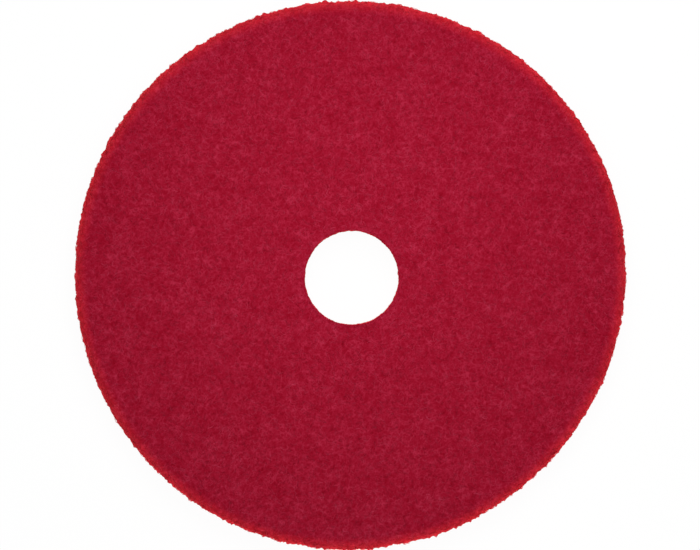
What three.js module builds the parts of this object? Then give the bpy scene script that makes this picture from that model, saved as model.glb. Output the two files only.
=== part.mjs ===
// Round floor pad for a rotary floor machine: a thick disc of bonded non-woven web with a round
// hole for the machine's centre lock. Resin and fine abrasive coat the web from both faces, so
// the disc is built as it is laid up: a coated working face above, a coated working face below,
// and the open core web between them, bonded face to face. The pad lies on z = 0 with its axis on Z.
import * as THREE from "three";

// Driving dimensions, in millimetres.
const PAD_DIAMETER = 482.6; // 19 in
const HOLE_DIAMETER = 82.55; // 3 1/4 in
const THICKNESS = 25.4; // 1 in
const COAT_DEPTH = 5; // how far the coat reaches into the web from each face
const SHOULDER_WIDTH = 8; // the soft outer edge, measured along the face
const SHOULDER_DROP = 9; // the same edge, measured down the flank
const MOUTH_RADIUS = 1.2; // the eased edge of the hole

// How finely the curves are divided.
const SEGMENTS = 96;
const SHOULDER_STEPS = 5;
const MOUTH_STEPS = 2;

const RIGHT_ANGLE = Math.PI / 2;
const HALF_THICKNESS = THICKNESS / 2;
const HOLE_RADIUS = HOLE_DIAMETER / 2;

// Where the coat ends on the shoulder: its height over the mid-plane, and its turn along the curve.
const SEAM_HEIGHT = HALF_THICKNESS - COAT_DEPTH;
const SEAM_TURN = Math.asin(1 - COAT_DEPTH / SHOULDER_DROP);

// A point of the upper shoulder, as radius and height over the mid-plane. The shoulder is a quarter
// of an ellipse: turn is 0 where it leaves the upright flank, and a right angle where it meets the face.
function shoulderPoint(turn) {
  return new THREE.Vector2(
    PAD_DIAMETER / 2 - SHOULDER_WIDTH * (1 - Math.cos(turn)),
    HALF_THICKNESS - SHOULDER_DROP * (1 - Math.sin(turn)),
  );
}

// A point of the hole's upper edge, a quarter of a circle: turn is a right angle at the face.
function mouthPoint(turn) {
  return new THREE.Vector2(
    HOLE_RADIUS + MOUTH_RADIUS * (1 - Math.cos(turn)),
    HALF_THICKNESS - MOUTH_RADIUS * (1 - Math.sin(turn)),
  );
}

// Points of a curve from one turn to another, both ends included.
function sweep(curve, from, to, steps) {
  return Array.from({ length: steps + 1 }, (_, i) => curve(from + ((to - from) * i) / steps));
}

// The same outline on the other side of the mid-plane, still running the same way round.
function mirrored(points) {
  return points.map((p) => new THREE.Vector2(p.x, -p.y)).reverse();
}

// The coated face's outline: out along the seam, up the shoulder, in over the face and down the hole.
const coatOutline = [
  new THREE.Vector2(HOLE_RADIUS, SEAM_HEIGHT),
  ...sweep(shoulderPoint, SEAM_TURN, RIGHT_ANGLE, SHOULDER_STEPS),
  ...sweep(mouthPoint, RIGHT_ANGLE, 0, MOUTH_STEPS),
];

// The core's outline: the hole's wall, both seams, and the full flank between them.
const flank = sweep(shoulderPoint, 0, SEAM_TURN, SHOULDER_STEPS);
const coreOutline = [
  new THREE.Vector2(HOLE_RADIUS, -SEAM_HEIGHT),
  ...mirrored(flank),
  ...flank,
  new THREE.Vector2(HOLE_RADIUS, SEAM_HEIGHT),
];

// One layer of the pad: its outline turned once round the pad's axis, and stood on that axis.
function layer(name, outline, material) {
  const geometry = new THREE.LatheGeometry([...outline, outline[0]], SEGMENTS);
  geometry.rotateX(RIGHT_ANGLE);
  const mesh = new THREE.Mesh(geometry, material);
  mesh.name = name;
  mesh.position.z = HALF_THICKNESS;
  return mesh;
}

const coatedWeb = new THREE.MeshStandardMaterial({ color: 0x97162d, roughness: 0.85, metalness: 0 });
const openWeb = new THREE.MeshStandardMaterial({ color: 0xb8282f, roughness: 0.95, metalness: 0 });

const pad = new THREE.Group();
pad.name = "floor_pad";
pad.add(
  layer("upper_working_face", coatOutline, coatedWeb),
  layer("core_web", coreOutline, openWeb),
  layer("lower_working_face", mirrored(coatOutline), coatedWeb),
);

export default pad;
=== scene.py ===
"""Looks of a round floor pad for a rotary floor machine.

The pad is one thick disc of crimped fibres, bonded with resin. Its two working faces are coated
crimson, and the open web between them, which the cut rim and the hole's wall show, is orange-red.
Each layer is made here as a lumpy closed body, and thousands of separate strands lie in and on it,
as they do in the real web. The pad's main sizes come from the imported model. All lengths are in metres.
"""

from __future__ import annotations

import logging
import math
from dataclasses import dataclass, field
from enum import Enum
from functools import cached_property
from typing import Any, Sequence

import bpy
import numpy as np
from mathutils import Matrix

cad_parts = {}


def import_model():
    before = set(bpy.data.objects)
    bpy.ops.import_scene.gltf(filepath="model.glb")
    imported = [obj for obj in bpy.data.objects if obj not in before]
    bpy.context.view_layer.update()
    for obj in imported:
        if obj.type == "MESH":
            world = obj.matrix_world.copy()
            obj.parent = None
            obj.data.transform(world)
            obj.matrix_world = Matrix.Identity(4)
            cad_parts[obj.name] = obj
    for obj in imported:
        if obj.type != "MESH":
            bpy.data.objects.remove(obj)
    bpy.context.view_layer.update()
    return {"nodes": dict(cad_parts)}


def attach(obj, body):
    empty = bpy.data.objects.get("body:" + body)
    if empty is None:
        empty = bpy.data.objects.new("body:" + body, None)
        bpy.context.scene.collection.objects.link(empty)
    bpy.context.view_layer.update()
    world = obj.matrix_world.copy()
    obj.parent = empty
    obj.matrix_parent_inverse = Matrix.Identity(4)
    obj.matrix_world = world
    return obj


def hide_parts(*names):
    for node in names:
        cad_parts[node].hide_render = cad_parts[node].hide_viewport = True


Array = np.ndarray
Colour = tuple[float, float, float]
LOG = logging.getLogger("floor_pad")

MM = 0.001
FULL_TURN = 2 * math.pi
TOUCH = 1e-5  # metres: sizes closer than this count as one
SPECK = 1e-9  # metres: far below any real size
TINY = 1e-12  # keeps a division from a length of zero
WHITE = (1.0, 1.0, 1.0, 1.0)
NOISE_MIDDLE = 0.5  # the middle value of smooth noise
BODY = "root"
BAKE_MAP = "OFBake"
TONE_AND_SHEEN = "tint"  # a strand's random tone and painted sheen: how pale it is coloured, from 0 to 1
REACH = "reach"  # distance along the section from the middle of the hole's wall, in metres


class Slot(Enum):
    """The record's material slots, with which the new pieces are planned."""

    COATED = "coated_face"
    OPEN = "open_web"


# ---------------------------------------------------------------------------------------------
# The pad's shape
# ---------------------------------------------------------------------------------------------


@dataclass(frozen=True)
class Section:
    """The pad's half section, walked once round.

    The walk starts half-way up the hole's wall. It goes up the wall, out over the upper face,
    down the shoulder and the flank, in under the lower face and up the wall again.
    """

    hole: float
    outer: float
    thickness: float
    shoulder_width: float
    shoulder_drop: float
    mouth: float
    coat_depth: float
    arc_steps: int = 32

    @classmethod
    def measured(cls, nodes: dict[str, bpy.types.Object]) -> Section:
        """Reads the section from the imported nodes.

        Args:
            nodes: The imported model's objects by node name.

        Returns:
            The section with the sizes that the solids have.
        """
        upper = _corners(nodes["upper_working_face"])
        core = _corners(nodes["core_web"])
        reach = np.hypot(upper[:, 0], upper[:, 1])
        core_reach = np.hypot(core[:, 0], core[:, 1])
        top = upper[:, 2].max()
        face = reach[upper[:, 2] > top - TOUCH]
        flank = core[core_reach > core_reach.max() - TOUCH]
        return cls(
            hole=float(core_reach.min()),
            outer=float(core_reach.max()),
            thickness=float(top),
            shoulder_width=float(core_reach.max() - face.max()),
            shoulder_drop=float(top - flank[:, 2].max()),
            mouth=float(face.min() - reach.min()),
            coat_depth=float(top - upper[:, 2].min()),
        )

    @property
    def half(self) -> float:
        """Half the pad's thickness."""
        return self.thickness / 2

    @cached_property
    def walk(self) -> Array:
        """The walk's points.

        The wall, face and flank are straight, the mouth is a quarter of a circle and the shoulder
        is a quarter of an ellipse. The lower half is the upper half mirrored.

        Returns:
            Rows of distance, radius, height over the mid-plane, and the normal's radius and height.
        """
        turn = np.linspace(0, math.pi / 2, self.arc_steps)
        mouth = np.stack(
            [
                self.hole + self.mouth * (1 - np.cos(turn)),
                self.half - self.mouth * (1 - np.sin(turn)),
                -np.cos(turn),
                np.sin(turn),
            ],
            axis=1,
        )
        back = turn[::-1]
        wide, drop = self.shoulder_width, self.shoulder_drop
        steepness = np.hypot(np.cos(back) * drop, np.sin(back) * wide)
        shoulder = np.stack(
            [
                self.outer - wide * (1 - np.cos(back)),
                self.half - drop * (1 - np.sin(back)),
                np.cos(back) * drop / steepness,
                np.sin(back) * wide / steepness,
            ],
            axis=1,
        )
        upper = np.concatenate(
            [[[self.hole, 0, -1, 0]], mouth, shoulder, [[self.outer, 0, 1, 0]]]
        )
        lower = upper[::-1][1:] * [1, -1, 1, -1]
        loop = np.concatenate([upper, lower])
        steps = np.hypot(np.diff(loop[:, 0]), np.diff(loop[:, 1]))
        distance = np.concatenate([[0], np.cumsum(steps)])
        return np.column_stack([distance, loop])

    @property
    def length(self) -> float:
        """The length of the whole walk."""
        return float(self.walk[-1, 0])

    def at(self, along: Array) -> tuple[Array, Array, Array, Array]:
        """Looks up places on the walk.

        Args:
            along: Distances along the walk, of any size.

        Returns:
            Radius, height over the mid-plane, and the outward normal's radius and height.
        """
        place = np.mod(along, self.length)
        table = self.walk
        found = [np.interp(place, table[:, 0], table[:, k]) for k in range(1, 5)]
        return found[0], found[1], found[2], found[3]

    def folded(self, along: Array | float) -> Array:
        """The distance from the middle of the hole's wall by the nearer way round."""
        place = np.mod(along, self.length)
        return np.minimum(place, self.length - place)

    def along(self, height: float) -> float:
        """Finds a height on the outer edge.

        Args:
            height: Height over the mid-plane.

        Returns:
            The distance along the walk at which the outer edge has this height.
        """
        table = self.walk
        outer = table[table[:, 1] > self.outer - self.shoulder_width - SPECK]
        order = np.argsort(outer[:, 2])
        return float(np.interp(height, outer[order, 2], outer[order, 0]))

    @property
    def seam(self) -> float:
        """The height over the mid-plane at which the coat ends."""
        return self.half - self.coat_depth

    @property
    def face_start(self) -> float:
        """The distance along the walk at which the flat upper face begins."""
        return float(self.walk[self.arc_steps, 0])

    @property
    def face_end(self) -> float:
        """The distance along the walk at which the flat upper face ends."""
        return float(self.walk[self.arc_steps + 1, 0])


def _corners(node: bpy.types.Object) -> Array:
    """Reads an object's vertices.

    Args:
        node: The object.

    Returns:
        The vertices, as rows of x, y and z.
    """
    found = np.zeros(len(node.data.vertices) * 3, np.float32)
    node.data.vertices.foreach_get("co", found)
    return found.reshape(-1, 3).astype(float)


class Lumps:
    """A smooth random relief in space.

    It is a sum of plane waves of near-equal wavelength, with random directions and phases, scaled
    to a variance of one.
    """

    SPREAD = (0.6, 1.5)  # the least and the most lumps to the metre, as shares of the typical number

    def __init__(self, rng: np.random.Generator, wavelength: float, waves: int = 40) -> None:
        """Draws the waves.

        Args:
            rng: The source of random numbers.
            wavelength: The typical distance from one lump to the next.
            waves: How many waves are summed.
        """
        way = rng.normal(size=(waves, 3))
        way /= np.linalg.norm(way, axis=1, keepdims=True)
        self.way = way * (FULL_TURN / wavelength) * rng.uniform(*self.SPREAD, (waves, 1))
        self.phase = rng.uniform(0, FULL_TURN, waves)

    def at(self, points: Array) -> Array:
        """Sums the waves.

        Args:
            points: The points, with x, y and z on the last axis.

        Returns:
            The relief at each point.
        """
        flat = points.reshape(-1, 3)
        total = np.zeros(len(flat))
        for way, phase in zip(self.way, self.phase):
            total += np.cos(flat @ way + phase)
        return (total * math.sqrt(2 / len(self.phase))).reshape(points.shape[:-1])


@dataclass(frozen=True)
class Relief:
    """One size of lump, and how high it stands on each part of the pad."""

    lumps: Lumps
    face: float
    rim: float
    wall: float


@dataclass(frozen=True)
class Lobes:
    """A slow wave in the outer edge: how many times it swells, how far, and where it first does."""

    count: int
    size: float
    peak: float


@dataclass
class Web:
    """The real surface of the pad: the section turned round its axis, then made irregular.

    The outer edge is cut slightly off the hole's centre and a little out of round, and the surface
    is pushed in and out along its normal by reliefs of several sizes. Small nibs of torn web stand
    out of the cut rim, which is drawn in a little to make up for them, as the hole's wall is for
    its strands. The cut is cleanest at both ends of the X axis. What would reach below the floor
    is pressed together just over it.
    """

    section: Section
    seed: int
    offset: tuple[float, float] = (-1.66 * MM, 2.68 * MM)
    lobes: tuple[Lobes, ...] = (
        Lobes(2, 0.78 * MM, math.radians(21)),
        Lobes(3, 0.73 * MM, math.radians(16)),
    )
    rim_blend: float = 6 * MM  # the face turns into rim from this far before its end to as far past it
    nib_height: float = 0.48 * MM
    nib_stretch: tuple[float, float, float] = (1.0, 1.0, 0.3)  # the knife drags them along the cut
    nib_bar: float = -0.4  # nibs stand where their relief is over this level
    clean_cut: float = 0.42  # how much smoother the rim is at the cleanest places of the cut
    drawn_in: float = 1.00 * MM
    wall_drawn_in: float = 0.25 * MM
    rest_lift: float = 0.5 * MM  # how far the underside is raised
    rest_depth: float = 0.6 * MM  # the height under which things are pressed together
    reliefs: tuple[Relief, ...] = field(init=False)
    nibs: Lumps = field(init=False)

    def __post_init__(self) -> None:
        """Draws the reliefs."""
        rng = np.random.default_rng(self.seed)
        self.reliefs = (
            Relief(Lumps(rng, 34 * MM), face=0.15 * MM, rim=0.22 * MM, wall=0.10 * MM),
            Relief(Lumps(rng, 10 * MM), face=0.08 * MM, rim=0.42 * MM, wall=0.14 * MM),
            Relief(Lumps(rng, 4.6 * MM), face=0.04 * MM, rim=0.16 * MM, wall=0.12 * MM),
        )
        self.nibs = Lumps(rng, 3.8 * MM)

    def _share(self, along: Array) -> tuple[Array, Array]:
        """Tells the pad's zones apart.

        Args:
            along: Distances along the section's walk.

        Returns:
            How far each place belongs to the rim and to the hole's wall, from 0 to 1.
        """
        s = self.section
        folded = s.folded(along)
        rim = np.interp(folded, [s.face_end - self.rim_blend, s.face_end + self.rim_blend], [0, 1])
        wall = np.interp(folded, [s.face_start, s.face_start + s.mouth], [1, 0])
        return rim, wall

    def _pull(self, radius: Array | float) -> Array:
        """How far a radius follows the outer edge's own centre: the square of its way outwards."""
        s = self.section
        return np.clip((radius - s.hole) / (s.outer - s.hole), 0, 1) ** 2

    def place(self, along: Array, turn: Array, lift: Array | float = 0.0) -> Array:
        """Puts points on the surface.

        Args:
            along: Distance along the section's walk.
            turn: Angle round the pad's axis.
            lift: Height over the surface, along its normal.

        Returns:
            The points, with x, y and z on the last axis.
        """
        s = self.section
        radius, height, out, up = s.at(along)
        cos, sin = np.cos(turn), np.sin(turn)
        base = np.stack([radius * cos, radius * sin, height + s.half], axis=-1)
        rim, wall = self._share(along)
        rim_rise = rim * (1 - self.clean_cut * cos**2)
        push = lift - rim * self.drawn_in - wall * self.wall_drawn_in
        for relief in self.reliefs:
            amount = relief.face * (1 - rim - wall) + relief.rim * rim_rise + relief.wall * wall
            push = push + amount * relief.lumps.at(base)
        nibs = np.maximum(self.nibs.at(base * self.nib_stretch) - self.nib_bar, 0)
        push = push + rim_rise * self.nib_height * nibs - self.rest_lift * np.maximum(-up, 0)
        pull = self._pull(radius)
        bulge = sum(wave.size * np.cos(wave.count * (turn - wave.peak)) for wave in self.lobes)
        push_out = out * push + pull * bulge
        base[..., 0] += push_out * cos + pull * self.offset[0]
        base[..., 1] += push_out * sin + pull * self.offset[1]
        base[..., 2] += up * push
        return base

    def pressed(self, points: Array) -> Array:
        """Presses what lies near the floor or under it together, just over the floor.

        A height z below the rest depth d becomes d times the exponential of z / d - 1, which
        meets the unpressed heights smoothly and never reaches the floor.

        Args:
            points: Points, with x, y and z on the last axis, which are changed in place.

        Returns:
            The same points.
        """
        low = np.minimum(points[..., 2] / self.rest_depth, 1)
        squeezed = self.rest_depth * np.exp(low - 1)
        points[..., 2] = np.where(low < 1, squeezed, points[..., 2])
        return points

    def inside(self, radius: Array, height: Array, turn: Array) -> Array:
        """Points within the pad, which follow the edge's centre but have no relief.

        Args:
            radius: Distance from the axis.
            height: Height over the mid-plane.
            turn: Angle round the axis.

        Returns:
            The points, with x, y and z on the last axis.
        """
        pull = self._pull(radius)
        x = radius * np.cos(turn) + pull * self.offset[0]
        y = radius * np.sin(turn) + pull * self.offset[1]
        return np.stack([x, y, np.broadcast_to(height + self.section.half, x.shape)], axis=-1)


# ---------------------------------------------------------------------------------------------
# Meshes
# ---------------------------------------------------------------------------------------------


def make_mesh(
    name: str,
    points: Array,
    faces: Sequence[Array],
    places: Sequence[Array],
    values: dict[str, Array],
) -> bpy.types.Object:
    """Makes an object from whole arrays.

    Args:
        name: The object's name.
        points: The vertices, as rows of x, y and z.
        faces: Arrays of vertex indices, one array for each number of corners.
        places: For each array of faces, its corners' places on the bake map.
        values: Numbers kept at the vertices, by name.

    Returns:
        The new object, linked to the scene, with smooth faces.
    """
    mesh = bpy.data.meshes.new(name)
    corners = np.concatenate([f.ravel() for f in faces]).astype(np.int32)
    totals = np.concatenate([np.full(len(f), f.shape[1]) for f in faces]).astype(np.int32)
    mesh.vertices.add(len(points))
    mesh.vertices.foreach_set("co", points.astype(np.float32).ravel())
    mesh.loops.add(len(corners))
    mesh.loops.foreach_set("vertex_index", corners)
    mesh.polygons.add(len(totals))
    mesh.polygons.foreach_set("loop_start", (np.cumsum(totals) - totals).astype(np.int32))
    mesh.polygons.foreach_set("use_smooth", np.ones(len(totals), bool))
    layer = mesh.uv_layers.new(name=BAKE_MAP)
    flat = np.concatenate([p.reshape(-1, 2) for p in places]).astype(np.float32)
    layer.uv.foreach_set("vector", flat.ravel())
    for key, numbers in values.items():
        attribute = mesh.attributes.new(key, "FLOAT", "POINT")
        attribute.data.foreach_set("value", numbers.astype(np.float32))
    mesh.update(calc_edges=True)
    made = bpy.data.objects.new(name, mesh)
    bpy.context.scene.collection.objects.link(made)
    return made


@dataclass(frozen=True)
class Ring:
    """One ring of a layer's grid: a place on the section's walk, or one on a hidden seam."""

    steps: int
    along: float | None = None
    radius: float = 0.0
    height: float = 0.0

    def points(self, web: Web) -> Array:
        """Spaces the ring's vertices evenly round the axis.

        Args:
            web: The surface that the ring lies on or, if it is hidden, in.

        Returns:
            The vertices, as rows of x, y and z.
        """
        turn = FULL_TURN * np.arange(self.steps) / self.steps
        if self.along is None:
            return web.inside(self.radius, self.height, turn)
        return web.pressed(web.place(np.full(self.steps, self.along), turn))

    def reach(self, section: Section) -> Array:
        """How far along the section each vertex lies, which on a hidden seam is the middle."""
        along = 0.0 if self.along is None else float(section.folded(self.along))
        return np.full(self.steps, along)


@dataclass(frozen=True)
class WebLayer:
    """One bonded layer of the pad, as a closed surface of rings.

    The rings follow the layer's section once round, over what is on show and back along the
    hidden seams. Each has its own number of steps round the axis, so that faces stay about as
    wide as they are long: two rings in a row have the same number, or one has twice the other's.
    """

    name: str
    node: str
    slot: Slot
    rings: tuple[Ring, ...]
    fill: float

    MIDDLE = 40 * MM  # on the bake map, the free middle that holds the hidden seams
    SEAM_SPAN = (0.1, 0.9)  # the part of the middle that they take, from its centre outwards
    MAP_CENTRE = 0.5
    MAP_RADIUS = 0.49

    def build(self, web: Web, finish: bpy.types.Material) -> bpy.types.Object:
        """Builds the layer.

        Args:
            web: The surface that the layer follows.
            finish: The material.

        Returns:
            The layer's object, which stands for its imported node.
        """
        points = np.concatenate([ring.points(web) for ring in self.rings])
        starts = np.concatenate([[0], np.cumsum([ring.steps for ring in self.rings])[:-1]])
        near, far = self._map_radii()
        quads, triangles = [], []
        for k, ring in enumerate(self.rings):
            after = (k + 1) % len(self.rings)
            band = band_between(ring.steps, self.rings[after].steps)
            for corners, batch in zip(band, (quads, triangles)):
                outer, step = corners[..., 0], corners[..., 1]
                steps = np.where(outer, self.rings[after].steps, ring.steps)
                index = np.where(outer, starts[after], starts[k]) + step % steps
                turn = FULL_TURN * step / steps
                radius = np.where(outer, far[k], near[k])[..., None]
                around = np.stack([np.cos(turn), np.sin(turn)], axis=-1)
                place = self.MAP_CENTRE + radius * around
                batch.append((index, place))
        faces = [np.concatenate([index for index, _ in batch]) for batch in (quads, triangles)]
        places = [np.concatenate([place for _, place in batch]) for batch in (quads, triangles)]
        reach = np.concatenate([ring.reach(web.section) for ring in self.rings])
        piece = make_mesh(self.name, points, faces, places, {REACH: reach})
        piece.data.materials.append(finish)
        dress(piece)
        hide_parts(self.node)
        return piece

    def _map_radii(self) -> tuple[Array, Array]:
        """The bake map: the layer's surface unrolled outwards from the hole's axis.

        A band on show keeps its width, and the hidden bands share the free middle of the map.

        Returns:
            For the band after each ring, its inner and its outer radius on the map.
        """
        places = [ring.along for ring in self.rings]
        bands = list(zip(places, places[1:] + places[:1]))
        shown = np.array([a is not None and b is not None and 0 < b - a < self.MIDDLE for a, b in bands])
        width = np.array([b - a if show else 0.0 for (a, b), show in zip(bands, shown)])
        edge = self.MIDDLE + np.cumsum(width)
        near, far = edge - width, edge.copy()
        slots = np.linspace(*self.SEAM_SPAN, (~shown).sum() + 1) * self.MIDDLE
        near[~shown], far[~shown] = slots[:-1], slots[1:]
        scale = self.MAP_RADIUS / edge[-1]
        return near * scale, far * scale


def band_between(here: int, there: int) -> tuple[Array, Array]:
    """The faces between two rings, the second of which comes later in the layer's round.

    Args:
        here: Steps in the first ring.
        there: Steps in the second ring: the same number, twice it or half of it.

    Returns:
        Quads and triangles. Each corner is a pair: 0 for the first ring or 1 for the second, and
        the step round it, which may be one past the last.
    """
    step = np.arange(min(here, there))
    none = np.zeros((0, 3, 2), int)
    if here == there:
        return corner_pairs([(0, step), (1, step), (1, step + 1), (0, step + 1)]), none
    fine, coarse = (1, 0) if there > here else (0, 1)
    a, b = (coarse, step), (coarse, step + 1)
    c, d, e = (fine, 2 * step), (fine, 2 * step + 1), (fine, 2 * step + 2)
    rows = [corner_pairs(corners) for corners in ([a, b, d], [a, d, c], [b, e, d])]
    faces = np.concatenate(rows)
    if fine == 1:
        faces = faces[:, ::-1]
    return np.zeros((0, 4, 2), int), faces


def corner_pairs(corners: Sequence[tuple[int, Array]]) -> Array:
    """Stacks corners into faces.

    Args:
        corners: For each corner of a face, its ring and an array of its steps, one for each face.

    Returns:
        The faces, each a row of corners, each of those a ring and a step.
    """
    return np.stack(
        [np.stack([np.full(len(step), ring), step], axis=-1) for ring, step in corners], axis=1
    )


def dress(piece: bpy.types.Object) -> None:
    """Makes a piece ride on the pad's one body."""
    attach(piece, BODY)


class Zone(Enum):
    """Where a batch of strands lies."""

    UPPER_FACE = "upper face"
    LOWER_FACE = "lower face"
    RIM = "rim"
    HOLE_WALL = "hole wall"


@dataclass(frozen=True)
class Crimp:
    """The form of a strand: a thin fibre with resin on it, bent to and fro by its crimp.

    Its heading swings as a sine of the distance along it, its two ends dive under the surface,
    and its middle stands a little over it.
    """

    length: tuple[float, float]
    radius: tuple[float, float]
    wave: tuple[float, float]
    swing: tuple[float, float]
    rise: tuple[float, float]
    sink: float
    lie: float  # how closely strands keep to the direction round the pad, 0 for any way


@dataclass(frozen=True)
class StrandBatch:
    """A batch of separate strands on one zone of the pad, made as closed three-sided tubes."""

    name: str
    zone: Zone
    slot: Slot
    count: int
    crimp: Crimp
    seed: int

    RINGS = 8
    SIDES = 3
    BOW = 2.5  # the power that shapes a strand's arch: the higher, the flatter its middle
    RISE_SKEW = 2  # the power that keeps most strands low
    TINT_SKEW = 1.7  # the power that keeps most strands dark, with little painted sheen
    TAPER = 0.3  # how much thinner a strand is at its ends
    MAP_MARGIN = 0.1  # of a strand's cell on the bake map, left free before its walls
    MAP_WALLS = (0.7, 0.8)  # the walls' shares of the cell, along it and up it
    MAP_END = ((0.82, 0.1), (0.9, 0.1), (0.82, 0.4))  # the corners of one end in the cell
    MAP_NEXT_END = (0.0, 0.45)  # from one end to the other

    def _paths(self, web: Web, rng: np.random.Generator) -> tuple[Array, Array, Array]:
        """Lays the strands' centre lines.

        Args:
            web: The surface that the strands lie on.
            rng: The source of random numbers.

        Returns:
            Centre points by strand and ring, the tubes' radii, and the points' reach.
        """
        crimp, n = self.crimp, self.count
        low, high = zone_span(web.section, self.zone)
        start = spread_by_area(web.section, low, high, rng.uniform(size=n))
        length = rng.uniform(*crimp.length, (n, 1))
        share = np.linspace(0, 1, self.RINGS)[None, :]
        middle = (share[:, 1:] + share[:, :-1]) / 2
        wave = rng.uniform(*crimp.wave, (n, 1))
        swing = rng.uniform(*crimp.swing, (n, 1))
        phase = rng.uniform(0, FULL_TURN, (n, 1))
        heading = rng.uniform(-math.pi, math.pi, (n, 1))
        sideways = math.pi / 2 * np.sign(heading)
        heading = heading + (sideways - heading) * crimp.lie
        heading = heading + swing * np.sin(FULL_TURN * middle * length / wave + phase)
        step = length / (self.RINGS - 1)
        zero = np.zeros((n, 1))
        walked = np.concatenate([zero, np.cumsum(np.cos(heading) * step, axis=1)], axis=1)
        along = start[:, None] + walked - walked[:, self.RINGS // 2, None]
        half_way = (along[:, 1:] + along[:, :-1]) / 2
        radius = web.section.at(half_way)[0]
        turned = np.concatenate([zero, np.cumsum(np.sin(heading) * step / radius, axis=1)], axis=1)
        turn = rng.uniform(0, FULL_TURN, (n, 1)) + turned
        bow = 1 - np.abs(2 * share - 1) ** self.BOW
        least, most = crimp.rise
        rise = least + (most - least) * rng.uniform(size=(n, 1)) ** self.RISE_SKEW
        lift = bow * (rise + crimp.sink) - crimp.sink
        full = 1 - self.TAPER + self.TAPER * np.sin(math.pi * share)
        thick = rng.uniform(*crimp.radius, (n, 1)) * full
        return web.place(along, turn, lift), thick, web.section.folded(along)

    def build(self, web: Web, finish: bpy.types.Material) -> bpy.types.Object:
        """Builds the batch.

        Each ring of a tube stands square to the path. Its first direction is carried along from
        ring to ring with as little twist as can be.

        Args:
            web: The surface that the strands lie on.
            finish: The material.

        Returns:
            One object that holds every strand of the batch.
        """
        rng = np.random.default_rng(self.seed)
        centres, thick, reach = self._paths(web, rng)
        ahead = np.gradient(centres, axis=1)
        ahead /= np.linalg.norm(ahead, axis=2, keepdims=True) + TINY
        side = np.empty_like(ahead)
        aside = np.cross(ahead[:, 0], rng.normal(size=(self.count, 3)))
        for ring in range(self.RINGS):
            way = ahead[:, ring]
            aside = aside - (aside * way).sum(1, keepdims=True) * way
            aside /= np.linalg.norm(aside, axis=1, keepdims=True) + TINY
            side[:, ring] = aside
        other = np.cross(ahead, side)
        angle = FULL_TURN * np.arange(self.SIDES) / self.SIDES
        rim = (
            side[:, :, None] * np.cos(angle)[None, None, :, None]
            + other[:, :, None] * np.sin(angle)[None, None, :, None]
        )
        points = centres[:, :, None] + rim * thick[:, :, None, None]
        points = web.pressed(points)
        walls, ends = self._faces()
        # each strand's random tone, whose pale end is painted sheen
        tint = np.repeat(rng.uniform(size=self.count) ** self.TINT_SKEW, self.RINGS * self.SIDES)
        values = {TONE_AND_SHEEN: tint, REACH: np.repeat(reach.ravel(), self.SIDES)}
        piece = make_mesh(self.name, points.reshape(-1, 3), [walls, ends], self._cells(), values)
        piece.data.materials.append(finish)
        dress(piece)
        return piece

    def _faces(self) -> tuple[Array, Array]:
        """Numbers the tubes' faces.

        Returns:
            The vertex indices of every tube's four-sided walls, and of its two three-sided ends.
        """
        first = (np.arange(self.count) * self.RINGS * self.SIDES)[:, None, None]
        ring = (np.arange(self.RINGS - 1) * self.SIDES)[None, :, None]
        here = np.arange(self.SIDES)[None, None, :]
        beside = (here + 1) % self.SIDES
        walls = np.stack(
            [
                first + ring + here,
                first + ring + beside,
                first + ring + self.SIDES + beside,
                first + ring + self.SIDES + here,
            ],
            axis=-1,
        )
        start = first[:, 0] + np.arange(self.SIDES)[None, ::-1]
        end = first[:, 0] + (self.RINGS - 1) * self.SIDES + np.arange(self.SIDES)[None, :]
        return walls.reshape(-1, 4), np.concatenate([start, end])

    def _cells(self) -> list[Array]:
        """The bake map: one square cell for each strand, its length across and its sides up.

        Returns:
            The corners' places on the map, for the walls and for the ends.
        """
        across = math.ceil(math.sqrt(self.count))
        strand = np.arange(self.count)
        corner = np.stack([strand % across, strand // across], axis=-1)
        ring = np.arange(self.RINGS - 1)[:, None, None]
        side = np.arange(self.SIDES)[None, :, None]
        wide, high = self.MAP_WALLS
        u = (ring + np.array([0, 0, 1, 1])) / (self.RINGS - 1) * wide + self.MAP_MARGIN
        v = (side + np.array([0, 1, 1, 0])) / self.SIDES * high + self.MAP_MARGIN
        wall = np.stack(np.broadcast_arrays(u, v), axis=-1).reshape(-1, 4, 2)
        walls = (corner[:, None, None] + wall[None]) / across
        end = np.array(self.MAP_END)
        starts = (corner[:, None] + end[None]) / across
        ends = (corner[:, None] + end[None] + self.MAP_NEXT_END) / across
        return [walls, np.concatenate([starts, ends])]


RIM_START = 3 * MM  # past the end of the flat face, where the rim's strands begin
AREA_STEPS = 400


def zone_span(section: Section, zone: Zone) -> tuple[float, float]:
    """The stretch of the section's walk that a zone covers.

    Args:
        section: The pad's section.
        zone: The zone.

    Returns:
        The distances along the walk at which the zone begins and ends.
    """
    length, seam = section.length, section.along(section.seam)
    spans = {
        Zone.UPPER_FACE: (section.face_start - section.mouth, seam),
        Zone.LOWER_FACE: (length - seam, length - section.face_start + section.mouth),
        Zone.RIM: (section.face_end + RIM_START, length - section.face_end - RIM_START),
        Zone.HOLE_WALL: (-section.half, section.half),
    }
    return spans[zone]


def spread_by_area(section: Section, low: float, high: float, chance: Array) -> Array:
    """Turns even chances into places on the walk, each stretch getting its share of the area.

    Args:
        section: The pad's section.
        low: The distance along the walk at which the places begin.
        high: The distance at which they end.
        chance: Numbers spread evenly from 0 to 1.

    Returns:
        A distance along the walk for each chance.
    """
    along = np.linspace(low, high, AREA_STEPS)
    area = np.cumsum(section.at(along)[0])
    return np.interp(chance * area[-1], area, along)


# ---------------------------------------------------------------------------------------------
# Finishes
# ---------------------------------------------------------------------------------------------


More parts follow.
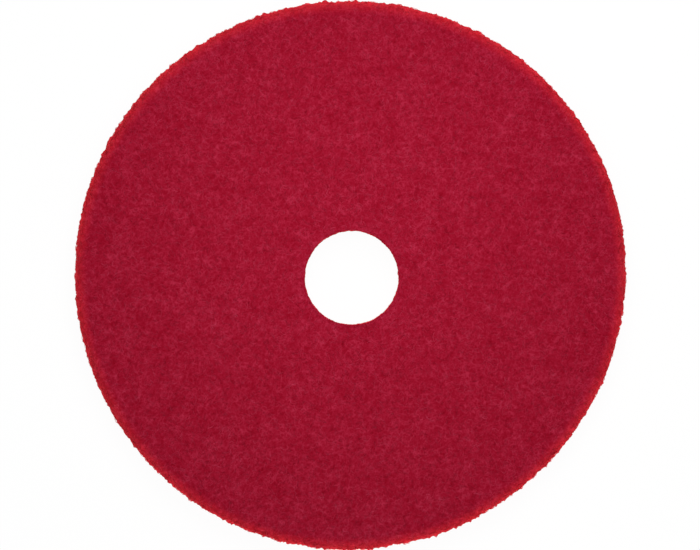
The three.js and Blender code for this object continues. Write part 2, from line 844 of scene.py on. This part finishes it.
class Num:
    """A number that a socket gives, with Python's operators as Math nodes."""

    def __init__(self, graph: Graph, socket: bpy.types.NodeSocket) -> None:
        """Wraps a socket of a graph."""
        self.graph = graph
        self.socket = socket

    def __add__(self, other: Num | float) -> Num:
        """The sum."""
        return self.graph.math("ADD", self, other)

    def __radd__(self, other: float) -> Num:
        """The sum, with the plain number first."""
        return self.graph.math("ADD", other, self)

    def __sub__(self, other: Num | float) -> Num:
        """The difference."""
        return self.graph.math("SUBTRACT", self, other)

    def __rsub__(self, other: float) -> Num:
        """The difference, with the plain number first."""
        return self.graph.math("SUBTRACT", other, self)

    def __mul__(self, other: Num | float) -> Num:
        """The product."""
        return self.graph.math("MULTIPLY", self, other)

    def __rmul__(self, other: float) -> Num:
        """The product, with the plain number first."""
        return self.graph.math("MULTIPLY", other, self)

    def __abs__(self) -> Num:
        """The size without its sign."""
        return self.graph.math("ABSOLUTE", self)


class Graph:
    """The nodes of one material, or of the world."""

    def __init__(self, owner: bpy.types.Material | bpy.types.World) -> None:
        """Empties the owner's tree of nodes.

        Args:
            owner: The material or the world.
        """
        self.owner = owner
        owner.use_nodes = True
        self.tree = owner.node_tree
        self.tree.nodes.clear()

    def add(self, kind: str, settings: dict[str, Any], inputs: dict[str, Any]) -> bpy.types.Node:
        """Adds a node.

        Args:
            kind: The node's type.
            settings: Its settings, such as a Math node's operation or a ramp's stops.
            inputs: Values or links by the socket's name, or by its number as text.

        Returns:
            The node.
        """
        node = self.tree.nodes.new(kind)
        for key, value in settings.items():
            if key == "stops":
                set_stops(node.color_ramp, value)
            else:
                setattr(node, key, value)
        for key, value in inputs.items():
            shown = [s for s in node.inputs if s.enabled]
            socket = shown[int(key)] if key.isdigit() else next(s for s in shown if s.name == key)
            source = value.socket if isinstance(value, Num) else value
            if isinstance(source, bpy.types.NodeSocket):
                self.tree.links.new(source, socket)
            else:
                socket.default_value = source
        return node

    def math(self, operation: str, *values: Any) -> Num:
        """Adds a Math node.

        Args:
            operation: The node's operation.
            values: One or two numbers or links.

        Returns:
            Its result.
        """
        inputs = {str(k): value for k, value in enumerate(values)}
        node = self.add("ShaderNodeMath", {"operation": operation}, inputs)
        return Num(self, node.outputs[0])

    def place(self) -> bpy.types.NodeSocket:
        """The point on the object, in metres."""
        return self.add("ShaderNodeTexCoord", {}, {}).outputs["Object"]

    def attribute(self, name: str) -> Num:
        """A number kept in the mesh."""
        node = self.add("ShaderNodeAttribute", {"attribute_name": name}, {})
        return Num(self, node.outputs["Fac"])

    def shifted(self, vector: Any, by: Sequence[float]) -> bpy.types.NodeSocket:
        """The vector moved by a constant."""
        return self.add("ShaderNodeVectorMath", {"operation": "ADD"}, {"0": vector, "1": by}).outputs[0]

    def stretched(self, vector: Any, by: Sequence[float]) -> bpy.types.NodeSocket:
        """The vector with each part scaled by a constant."""
        settings = {"operation": "MULTIPLY"}
        return self.add("ShaderNodeVectorMath", settings, {"0": vector, "1": by}).outputs[0]

    def noise(self, vector: Any, scale: float, detail: float = 1.0, warp: float = 0.0) -> Num:
        """Smooth noise.

        Args:
            vector: The point.
            scale: Lumps to the metre.
            detail: How many finer layers are added.
            warp: How far the noise is bent by itself.

        Returns:
            A number from 0 to 1, mostly near the middle.
        """
        inputs = {"Vector": vector, "Scale": scale, "Detail": detail, "Distortion": warp}
        node = self.add("ShaderNodeTexNoise", {"noise_dimensions": "3D"}, inputs)
        return Num(self, node.outputs[0])

    def ramp(self, value: Num, low: float, high: float, to: tuple[float, float] = (0, 1)) -> Num:
        """A smooth rise.

        Args:
            value: The number that rises.
            low: Where the rise begins.
            high: Where it ends.
            to: What it gives at its two ends.

        Returns:
            The number between the two ends of to.
        """
        inputs = {"Value": value, "From Min": low, "From Max": high, "To Min": to[0], "To Max": to[1]}
        node = self.add("ShaderNodeMapRange", {"interpolation_type": "SMOOTHSTEP"}, inputs)
        return Num(self, node.outputs[0])

    def dyed(self, level: Num, dye_and_light: Dye) -> bpy.types.NodeSocket:
        """The colour at a level, from 0 in the pits' painted shade to 1 on the palest strands' painted
        sheen.
        """
        settings = {"stops": dye_and_light.stops()}
        return self.add("ShaderNodeValToRGB", settings, {"0": level}).outputs[0]

    def mix(self, share: Num, first: Any, second: Any) -> bpy.types.NodeSocket:
        """Mixes two colours.

        Args:
            share: 0 for the first colour, 1 for the second.
            first: The first colour.
            second: The second colour.

        Returns:
            The mixed colour.
        """
        inputs = {"Factor": share, "A": first, "B": second}
        node = self.add("ShaderNodeMix", {"data_type": "RGBA"}, inputs)
        return next(s for s in node.outputs if s.enabled)

    def curls(self, vector: Any, lines: Curls) -> Num:
        """Thin curling lines, as of fibres: where smooth noise crosses its middle value.

        Args:
            vector: The point.
            lines: The family of lines.

        Returns:
            1 on a line, falling smoothly to 0 at its edge.
        """
        moved = self.shifted(vector, (lines.seed, -2 * lines.seed, 3 * lines.seed))
        off = abs(self.noise(moved, lines.scale, detail=0.0, warp=lines.warp) - NOISE_MIDDLE)
        return self.ramp(off, 0.0, lines.width, to=(1, 0))

    def finish(self, surface: bpy.types.Node) -> Any:
        """Links the surface to the output.

        Args:
            surface: The node whose first output is the surface or the sky.

        Returns:
            The material or the world.
        """
        world = isinstance(self.owner, bpy.types.World)
        kind = "ShaderNodeOutputWorld" if world else "ShaderNodeOutputMaterial"
        self.add(kind, {}, {"Surface": surface.outputs[0]})
        return self.owner


def set_stops(ramp: bpy.types.ColorRamp, stops: Sequence[tuple[float, Colour]]) -> None:
    """Gives a colour ramp its stops.

    Args:
        ramp: The ramp.
        stops: For each stop, its place from 0 to 1 and its colour.
    """
    while len(ramp.elements) < len(stops):
        ramp.elements.new(0.5)
    for element, (place, colour) in zip(ramp.elements, stops):
        element.position = place
        element.color = (*colour, 1.0)


@dataclass(frozen=True)
class Curls:
    """One family of thin curling lines."""

    scale: float  # curls to the metre
    width: float  # the lines' width, as a share of the noise's height
    seed: float  # sets one family apart from another
    warp: float = 0.4  # how much more the lines curl than plain noise does


@dataclass(frozen=True)
class Dye:
    """One zone's web colours by level, 0 to 1: the pits' painted shade, the web, strands partly painted
    light, the palest's painted sheen.
    """

    pit: Colour
    web: Colour
    strand: Colour
    pale: Colour

    def stops(self) -> list[tuple[float, Colour]]:
        """The colours as evenly spaced stops of a ramp, from the deepest to the palest."""
        return [(0.0, self.pit), (1 / 3, self.web), (2 / 3, self.strand), (1.0, self.pale)]


# Each ramp's pit stop is painted shade and its pale stop painted sheen; its strand stop is partly painted
# light.
COATED = Dye(
    pit=(0.246, 0.0016, 0.0105),
    web=(0.302, 0.0043, 0.0205),
    strand=(0.420, 0.0190, 0.0515),
    pale=(0.540, 0.0430, 0.0950),
)
OPEN = Dye(
    pit=(0.510, 0.0090, 0.0190),
    web=(0.690, 0.0175, 0.0320),
    strand=(0.850, 0.0370, 0.0550),
    pale=(0.920, 0.0570, 0.0740),
)


@dataclass(frozen=True)
class WebFinish:
    """The look of bonded fibre web, for the layers' bodies and for the strands on them.

    A level is a place on a ramp of dye colours and painted light. Scales are in lumps to the metre.
    """

    name: str
    section: Section
    strand: bool
    rim_loss: tuple[float, float] = (-5 * MM, 12 * MM)  # where the coat goes, from the face's end
    wall_loss: tuple[float, float] = (-6 * MM, -1.5 * MM)  # where the coat begins, from the face's start
    tearing: tuple[float, float] = (4 * MM, 13 * MM)  # where the rim's painted light rises, from the face's end
    wander: float = 5 * MM  # how far the coat's edge wanders at the rim, from end to end
    wall_wander: float = 0.5  # the same in the hole, as a share of the rim's
    wander_scale: float = 160.0
    squeeze: tuple[float, float, float] = (1.0, 1.0, 1.6)  # the web is flatter than it is wide
    coarse: Curls = Curls(210.0, 0.045, 0.0)
    fine: Curls = Curls(360.0, 0.055, 3.1)
    finest: Curls = Curls(620.0, 0.070, 7.7)
    finest_share: float = 0.7
    # pits: real hollows in the bump, whose darker colour is painted shade
    pit_scale: float = 420.0
    pit_edge: tuple[float, float] = (0.34, 0.54)
    grain_scale: float = 2600.0
    strand_level: tuple[float, float] = (0.37, 0.46)  # darkest strand, partly painted light, and the gain to the palest's painted sheen
    strand_height: tuple[float, float] = (0.4, 0.3)  # of the grain and of the finest lines
    web_level: tuple[float, float, float] = (0.31, 0.26, 0.18)  # plain, lines' gain, and the pits' loss, which is painted shade
    web_height: tuple[float, float] = (0.25, 0.6)  # of the grain, and the pits' depth
    cloud: tuple[float, float] = (100.0, 0.32)  # scale, and share of the level
    clump: tuple[float, float] = (250.0, 0.42)  # scale, and share of the level
    # painted light: how much lighter the rim grows towards its outer edge
    torn_level: float = 0.25
    grain_level: float = 0.1
    roughness: tuple[float, float] = (0.82, 0.2)  # middle, and the grain's share
    bump_strength: float = 0.5
    bump_depth: float = 0.03 * MM
    strand_specular: float = 0.04
    web_specular: float = 0.02

    def zones(self, graph: Graph, place: bpy.types.NodeSocket) -> tuple[Num, Num]:
        """Where the coat has thinned out, and how far painted light rises over the rim.

        The coat is lost over the last of each face and over the shoulder, and down the hole's
        wall, along an edge that wanders with the web. Painted light rises over the shoulder.

        Args:
            graph: The material's nodes.
            place: The point on the pad.

        Returns:
            The coat's loss, 0 on a working face and 1 in the open web, and the rim's painted light, 0 to 1.
        """
        start, end = self.section.face_start, self.section.face_end
        reach = graph.attribute(REACH)
        noise = graph.noise(place, self.wander_scale, detail=2.0)
        wander = (noise - NOISE_MIDDLE) * self.wander
        by_rim = graph.ramp(reach + wander, *(end + past for past in self.rim_loss))
        wall = [start + past for past in self.wall_loss]
        by_wall = graph.ramp(reach + wander * self.wall_wander, *wall, to=(1, 0))
        rim_rise = graph.ramp(reach, *(end + past for past in self.tearing))
        return graph.math("MAXIMUM", by_wall, by_rim), rim_rise

    def strand_surface(self, graph: Graph, finest: Num, grain: Num) -> tuple[Num, Num]:
        """A strand's own level, from its random tone and painted sheen, and its height.

        Args:
            graph: The material's nodes.
            finest: The finest curling lines.
            grain: The grain.

        Returns:
            The level, and the height as a share of the bump's depth.
        """
        darkest, gain = self.strand_level
        by_grain, by_lines = self.strand_height
        return graph.attribute(TONE_AND_SHEEN) * gain + darkest, grain * by_grain + finest * by_lines

    def web_surface(self, graph: Graph, flat: Any, finest: Num, grain: Num) -> tuple[Num, Num]:
        """The body's own level and height: up on curling lines of fibre, and down in pits with painted
        shade.

        Args:
            graph: The material's nodes.
            flat: The point on the pad, squeezed as the web is.
            finest: The finest curling lines.
            grain: The grain.

        Returns:
            The level, and the height as a share of the bump's depth.
        """
        bold = graph.math("MAXIMUM", graph.curls(flat, self.coarse), graph.curls(flat, self.fine))
        lines = graph.math("MAXIMUM", bold, finest * self.finest_share)
        # the pits are hollows in the bump, and their loss of level is painted shade
        shaded_pits = graph.ramp(graph.noise(flat, self.pit_scale, detail=1.0), *self.pit_edge, to=(1, 0))
        plain, gain, loss = self.web_level
        by_grain, depth = self.web_height
        level = lines * gain - shaded_pits * (1 - lines) * loss + plain
        return level, lines + grain * by_grain - shaded_pits * depth

    def mottle(self, graph: Graph, place: bpy.types.NodeSocket) -> Num:
        """The slow changes of level: wide clouds, and the clumps within them.

        Args:
            graph: The material's nodes.
            place: The point on the pad.

        Returns:
            What is added to the level.
        """
        parts = []
        for scale, share in (self.cloud, self.clump):
            parts.append((graph.noise(place, scale, detail=1.0) - NOISE_MIDDLE) * share)
        return parts[0] + parts[1]

    def make(self) -> bpy.types.Material:
        """Builds the material.

        The colour is the zone's, darker in pits, which is painted shade, and lighter on curling lines
        of fibre, with a slow mottle. The same lines raise the bump.

        Returns:
            The material.
        """
        graph = Graph(bpy.data.materials.new(self.name))
        place = graph.place()
        flat = graph.stretched(place, self.squeeze)
        share, rim_rise = self.zones(graph, place)
        finest = graph.curls(flat, self.finest)
        grain = graph.noise(place, self.grain_scale, detail=2.0)
        if self.strand:
            level, height = self.strand_surface(graph, finest, grain)
        else:
            level, height = self.web_surface(graph, flat, finest, grain)
        grainy = grain - NOISE_MIDDLE
        # the rim's rise adds painted light over the shoulder and the flank
        level = level + self.mottle(graph, place) + rim_rise * self.torn_level + grainy * self.grain_level
        colour = graph.mix(share, graph.dyed(level, COATED), graph.dyed(level, OPEN))
        inputs = {"Strength": self.bump_strength, "Distance": self.bump_depth, "Height": height}
        bump = graph.add("ShaderNodeBump", {}, inputs)
        middle, swing = self.roughness
        inputs = {
            "Base Color": colour,
            "Roughness": grainy * swing + middle,
            "Specular IOR Level": self.strand_specular if self.strand else self.web_specular,
            "Normal": bump.outputs[0],
        }
        surface = graph.add("ShaderNodeBsdfPrincipled", {}, inputs)
        return graph.finish(surface)


@dataclass(frozen=True)
class FloorFinish:
    """A white floor: lit by the lamps, and partly bright by itself where a camera sees it."""

    glow: float = 0.95
    strength: float = 1.01
    paint: float = 0.9

    def make(self) -> bpy.types.Material:
        """Builds the material.

        Returns:
            The material.
        """
        graph = Graph(bpy.data.materials.new("white_floor"))
        path = graph.add("ShaderNodeLightPath", {}, {})
        seen = seen_directly(graph, path)
        paint = graph.add("ShaderNodeBsdfDiffuse", {}, {"Color": (self.paint,) * 3 + (1.0,)})
        glow = graph.add("ShaderNodeEmission", {}, {"Color": WHITE, "Strength": self.strength})
        inputs = {"0": seen * self.glow, "1": paint.outputs[0], "2": glow.outputs[0]}
        return graph.finish(graph.add("ShaderNodeMixShader", {}, inputs))


def seen_directly(graph: Graph, path: bpy.types.Node) -> Num:
    """1 for a ray from the camera, straight or by way of metal or glass, and 0 for any other."""
    rays = [Num(graph, path.outputs[f"Is {kind} Ray"]) for kind in ("Camera", "Glossy", "Transmission")]
    return graph.math("MAXIMUM", graph.math("MAXIMUM", rays[0], rays[1]), rays[2])


# ---------------------------------------------------------------------------------------------
# Studio
# ---------------------------------------------------------------------------------------------


@dataclass(frozen=True)
class Lamp:
    """One soft square lamp that faces the pad."""

    name: str
    place: tuple[float, float, float]
    size: float
    power: float

    def build(self) -> bpy.types.Object:
        """Adds the lamp.

        Returns:
            The lamp's object.
        """
        data = bpy.data.lights.new(self.name, "AREA")
        data.shape, data.size, data.energy = "SQUARE", self.size, self.power
        made = bpy.data.objects.new(self.name, data)
        made.location = self.place
        made.visible_camera = False
        aim_at(made, (0.0, 0.0, 0.0))
        bpy.context.scene.collection.objects.link(made)
        return made


LAMPS = (
    Lamp("key", place=(0.08, 0.60, 0.80), size=0.7, power=5.1),
    Lamp("overhead", place=(0.0, 0.03, 0.40), size=0.25, power=0.50),
    Lamp("fill", place=(0.26, -1.02, 0.10), size=0.5, power=6.0),
    Lamp("left", place=(-0.95, -0.46, 0.10), size=0.5, power=2.1),
    Lamp("right", place=(1.03, -0.18, 0.10), size=0.5, power=1.4),
)


@dataclass(frozen=True)
class Studio:
    """The white floor, the soft light and the camera, which looks straight down."""

    section: Section
    lamps: tuple[Lamp, ...]
    dome: float = 0.35
    floor_half: float = 6.0
    floor_gap: float = 0.1 * MM
    camera_height: float = 2.2
    camera_sensor: float = 36.0  # in millimetres, as lenses are sold
    camera_reach: float = 100.0
    view_width: float = 0.6151  # what the camera sees from side to side, at the pad's mid-height
    camera_shift: tuple[float, float] = (-1.49 * MM, 2.37 * MM)

    def camera(self) -> bpy.types.Object:
        """Adds the camera over the pad.

        Returns:
            The camera, which is also made the scene's own.
        """
        data = bpy.data.cameras.new("camera")
        data.sensor_width = self.camera_sensor
        above = self.camera_height - self.section.half
        data.lens = data.sensor_width * above / self.view_width
        data.clip_end = self.camera_reach
        made = bpy.data.objects.new("camera", data)
        made.location = (*self.camera_shift, self.camera_height)
        bpy.context.scene.collection.objects.link(made)
        bpy.context.scene.camera = made
        return made

    def floor(self) -> bpy.types.Object:
        """Adds the floor, a square just under the pad.

        Returns:
            The floor's object.
        """
        mesh = bpy.data.meshes.new("floor")
        corner = np.array([[-1, -1], [1, -1], [1, 1], [-1, 1]]) * self.floor_half
        mesh.from_pydata([(x, y, -self.floor_gap) for x, y in corner], [], [(0, 1, 2, 3)])
        made = bpy.data.objects.new("floor", mesh)
        made.data.materials.append(FloorFinish().make())
        bpy.context.scene.collection.objects.link(made)
        return made

    def world(self) -> None:
        """Sets the even light from all round, and white where a camera sees past the floor."""
        world = bpy.data.worlds.new("studio")
        bpy.context.scene.world = world
        graph = Graph(world)
        path = graph.add("ShaderNodeLightPath", {}, {})
        level = seen_directly(graph, path) * (1.0 - self.dome) + self.dome
        inputs = {"Color": WHITE, "Strength": level}
        graph.finish(graph.add("ShaderNodeBackground", {}, inputs))

    def build(self) -> None:
        """Builds the whole studio."""
        self.camera()
        self.floor()
        for lamp in self.lamps:
            lamp.build()
        self.world()
        bpy.context.scene.view_settings.view_transform = "Standard"


def aim_at(thing: bpy.types.Object, target: Sequence[float]) -> None:
    """Turns a lamp so that it faces a point.

    Args:
        thing: The lamp's object.
        target: The point.
    """
    away = thing.location.copy()
    for axis in range(3):
        away[axis] -= target[axis]
    thing.rotation_euler = away.to_track_quat("Z", "Y").to_euler()


# ---------------------------------------------------------------------------------------------
# The pad
# ---------------------------------------------------------------------------------------------

FACE_CRIMP = Crimp(
    length=(4.5 * MM, 8.5 * MM),
    radius=(0.15 * MM, 0.28 * MM),
    wave=(8 * MM, 16 * MM),
    swing=(0.4, 1.3),
    rise=(0.02 * MM, 0.20 * MM),
    sink=0.4 * MM,
    lie=0.0,
)
RIM_CRIMP = Crimp(
    length=(7 * MM, 13 * MM),
    radius=(0.14 * MM, 0.27 * MM),
    wave=(8 * MM, 16 * MM),
    swing=(0.4, 1.4),
    rise=(0.1 * MM, 0.9 * MM),
    sink=0.5 * MM,
    lie=0.35,
)


@dataclass(frozen=True)
class FloorPad:
    """The whole pad: three bonded layers of web, and the strands on its faces, rim and hole."""

    section: Section
    face_batches: int = 5
    back_batches: int = 2
    rim_batches: int = 2
    batch_size: int = 3900
    wall_strands: int = 700
    seed: int = 19
    steps: int = 176  # round the hole; the rim has eight times as many
    face_pitch: float = 1.7 * MM
    back_pitch: float = 2.4 * MM
    rim_pitch: float = 1.0 * MM
    lip: float = 6 * MM  # how far the rim's finer grid reaches in over the face
    doubling: tuple[float, float] = (0.9, 2.9)  # where the steps double, in hole radii past the face's start
    inward: tuple[float, ...] = (0.9, 0.6, 0.3)  # the hidden seams' rings, as shares of the radius
    face_fill: float = 0.8
    core_fill: float = 0.6

    def shown(self, start: float, end: float, pitch: float, steps: int) -> list[Ring]:
        """Rings about pitch apart along the walk, from start up to but not including end."""
        count = max(1, round((end - start) / pitch))
        return [Ring(steps, along=start + (end - start) * k / count) for k in range(count)]

    def hidden(self, radii: Sequence[float], height: float, steps: Sequence[int]) -> list[Ring]:
        """Rings on a hidden seam, at a height over the mid-plane."""
        return [Ring(n, radius=r, height=height) for r, n in zip(radii, steps)]

    def face_rings(self, pitch: float) -> list[Ring]:
        """The upper layer's rings on show, from the hole's wall over the face to the rim.

        Args:
            pitch: The distance between rings on the face.

        Returns:
            The rings in order.
        """
        s, n = self.section, self.steps
        lip, edge = s.face_end - self.lip, s.along(s.seam)
        doubling = [s.face_start + s.hole * share for share in self.doubling]
        return [
            *self.shown(s.seam, s.face_start, self.rim_pitch, n),
            *self.shown(s.face_start, doubling[0], pitch, n),
            *self.shown(doubling[0], doubling[1], pitch, 2 * n),
            *self.shown(doubling[1], lip, pitch, 4 * n),
            *self.shown(lip, edge, self.rim_pitch, 8 * n),
            Ring(8 * n, along=edge),
        ]

    def layers(self) -> list[WebLayer]:
        """Plans the layers.

        Returns:
            The three layers, each with its rings in order round its section.
        """
        s, n = self.section, self.steps
        seam, edge, length = s.seam, s.along(s.seam), s.length
        inward = [s.outer * share for share in self.inward]
        face = self.face_rings(self.face_pitch)
        back = self.hidden(inward, seam, (4 * n, 2 * n, n))
        under = [Ring(r.steps, along=length - r.along) for r in reversed(self.face_rings(self.back_pitch))]
        outward = self.hidden(inward[::-1], -seam, (n, 2 * n, 4 * n))
        core = [
            *self.shown(-seam, seam, self.rim_pitch, n),
            Ring(n, along=seam),
            *self.hidden(inward[::-1], seam, (n, 2 * n, 4 * n)),
            *self.shown(edge, length - edge, self.rim_pitch, 8 * n),
            Ring(8 * n, along=length - edge),
            *self.hidden(inward, -seam, (4 * n, 2 * n, n)),
        ]
        plan = [
            ("upper_face_web", "upper_working_face", Slot.COATED, [*face, *back], self.face_fill),
            ("core_web_body", "core_web", Slot.OPEN, core, self.core_fill),
            ("lower_face_web", "lower_working_face", Slot.COATED, [*under, *outward], self.face_fill),
        ]
        return [WebLayer(name, node, slot, tuple(r), fill) for name, node, slot, r, fill in plan]

    def batches(self) -> list[StrandBatch]:
        """Plans the batches of strands.

        Returns:
            The batches, each with a seed of its own.
        """
        plan = [
            ("upper_face_strands", Zone.UPPER_FACE, Slot.COATED, self.face_batches, FACE_CRIMP),
            ("lower_face_strands", Zone.LOWER_FACE, Slot.COATED, self.back_batches, FACE_CRIMP),
            ("rim_strands", Zone.RIM, Slot.OPEN, self.rim_batches, RIM_CRIMP),
            ("hole_strands", Zone.HOLE_WALL, Slot.OPEN, 1, FACE_CRIMP),
        ]
        made = []
        for name, zone, slot, number, crimp in plan:
            count = self.wall_strands if zone is Zone.HOLE_WALL else self.batch_size
            for k in range(number):
                seed = self.seed + 1 + len(made)
                made.append(StrandBatch(f"{name}_{k + 1}", zone, slot, count, crimp, seed))
        return made

    def build(self) -> None:
        """Builds every piece and logs each one."""
        web = Web(self.section, self.seed)
        body = WebFinish("bonded_web", self.section, strand=False).make()
        strand = WebFinish("coated_strand", self.section, strand=True).make()
        for layer in self.layers():
            report(layer.build(web, body))
        for batch in self.batches():
            report(batch.build(web, strand))


def report(piece: bpy.types.Object) -> None:
    """Logs a piece's name, its size and its number of faces."""
    size = ", ".join(f"{side / MM:.1f}" for side in piece.dimensions)
    LOG.info("%s: %s mm, %d faces", piece.name, size, len(piece.data.polygons))


def main() -> None:
    """Builds the studio and the pad."""
    logging.basicConfig(level=logging.INFO, format="%(message)s")
    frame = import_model()
    section = Section.measured(frame["nodes"])
    Studio(section, LAMPS).build()
    FloorPad(section).build()


if __name__ == "__main__":
    main()
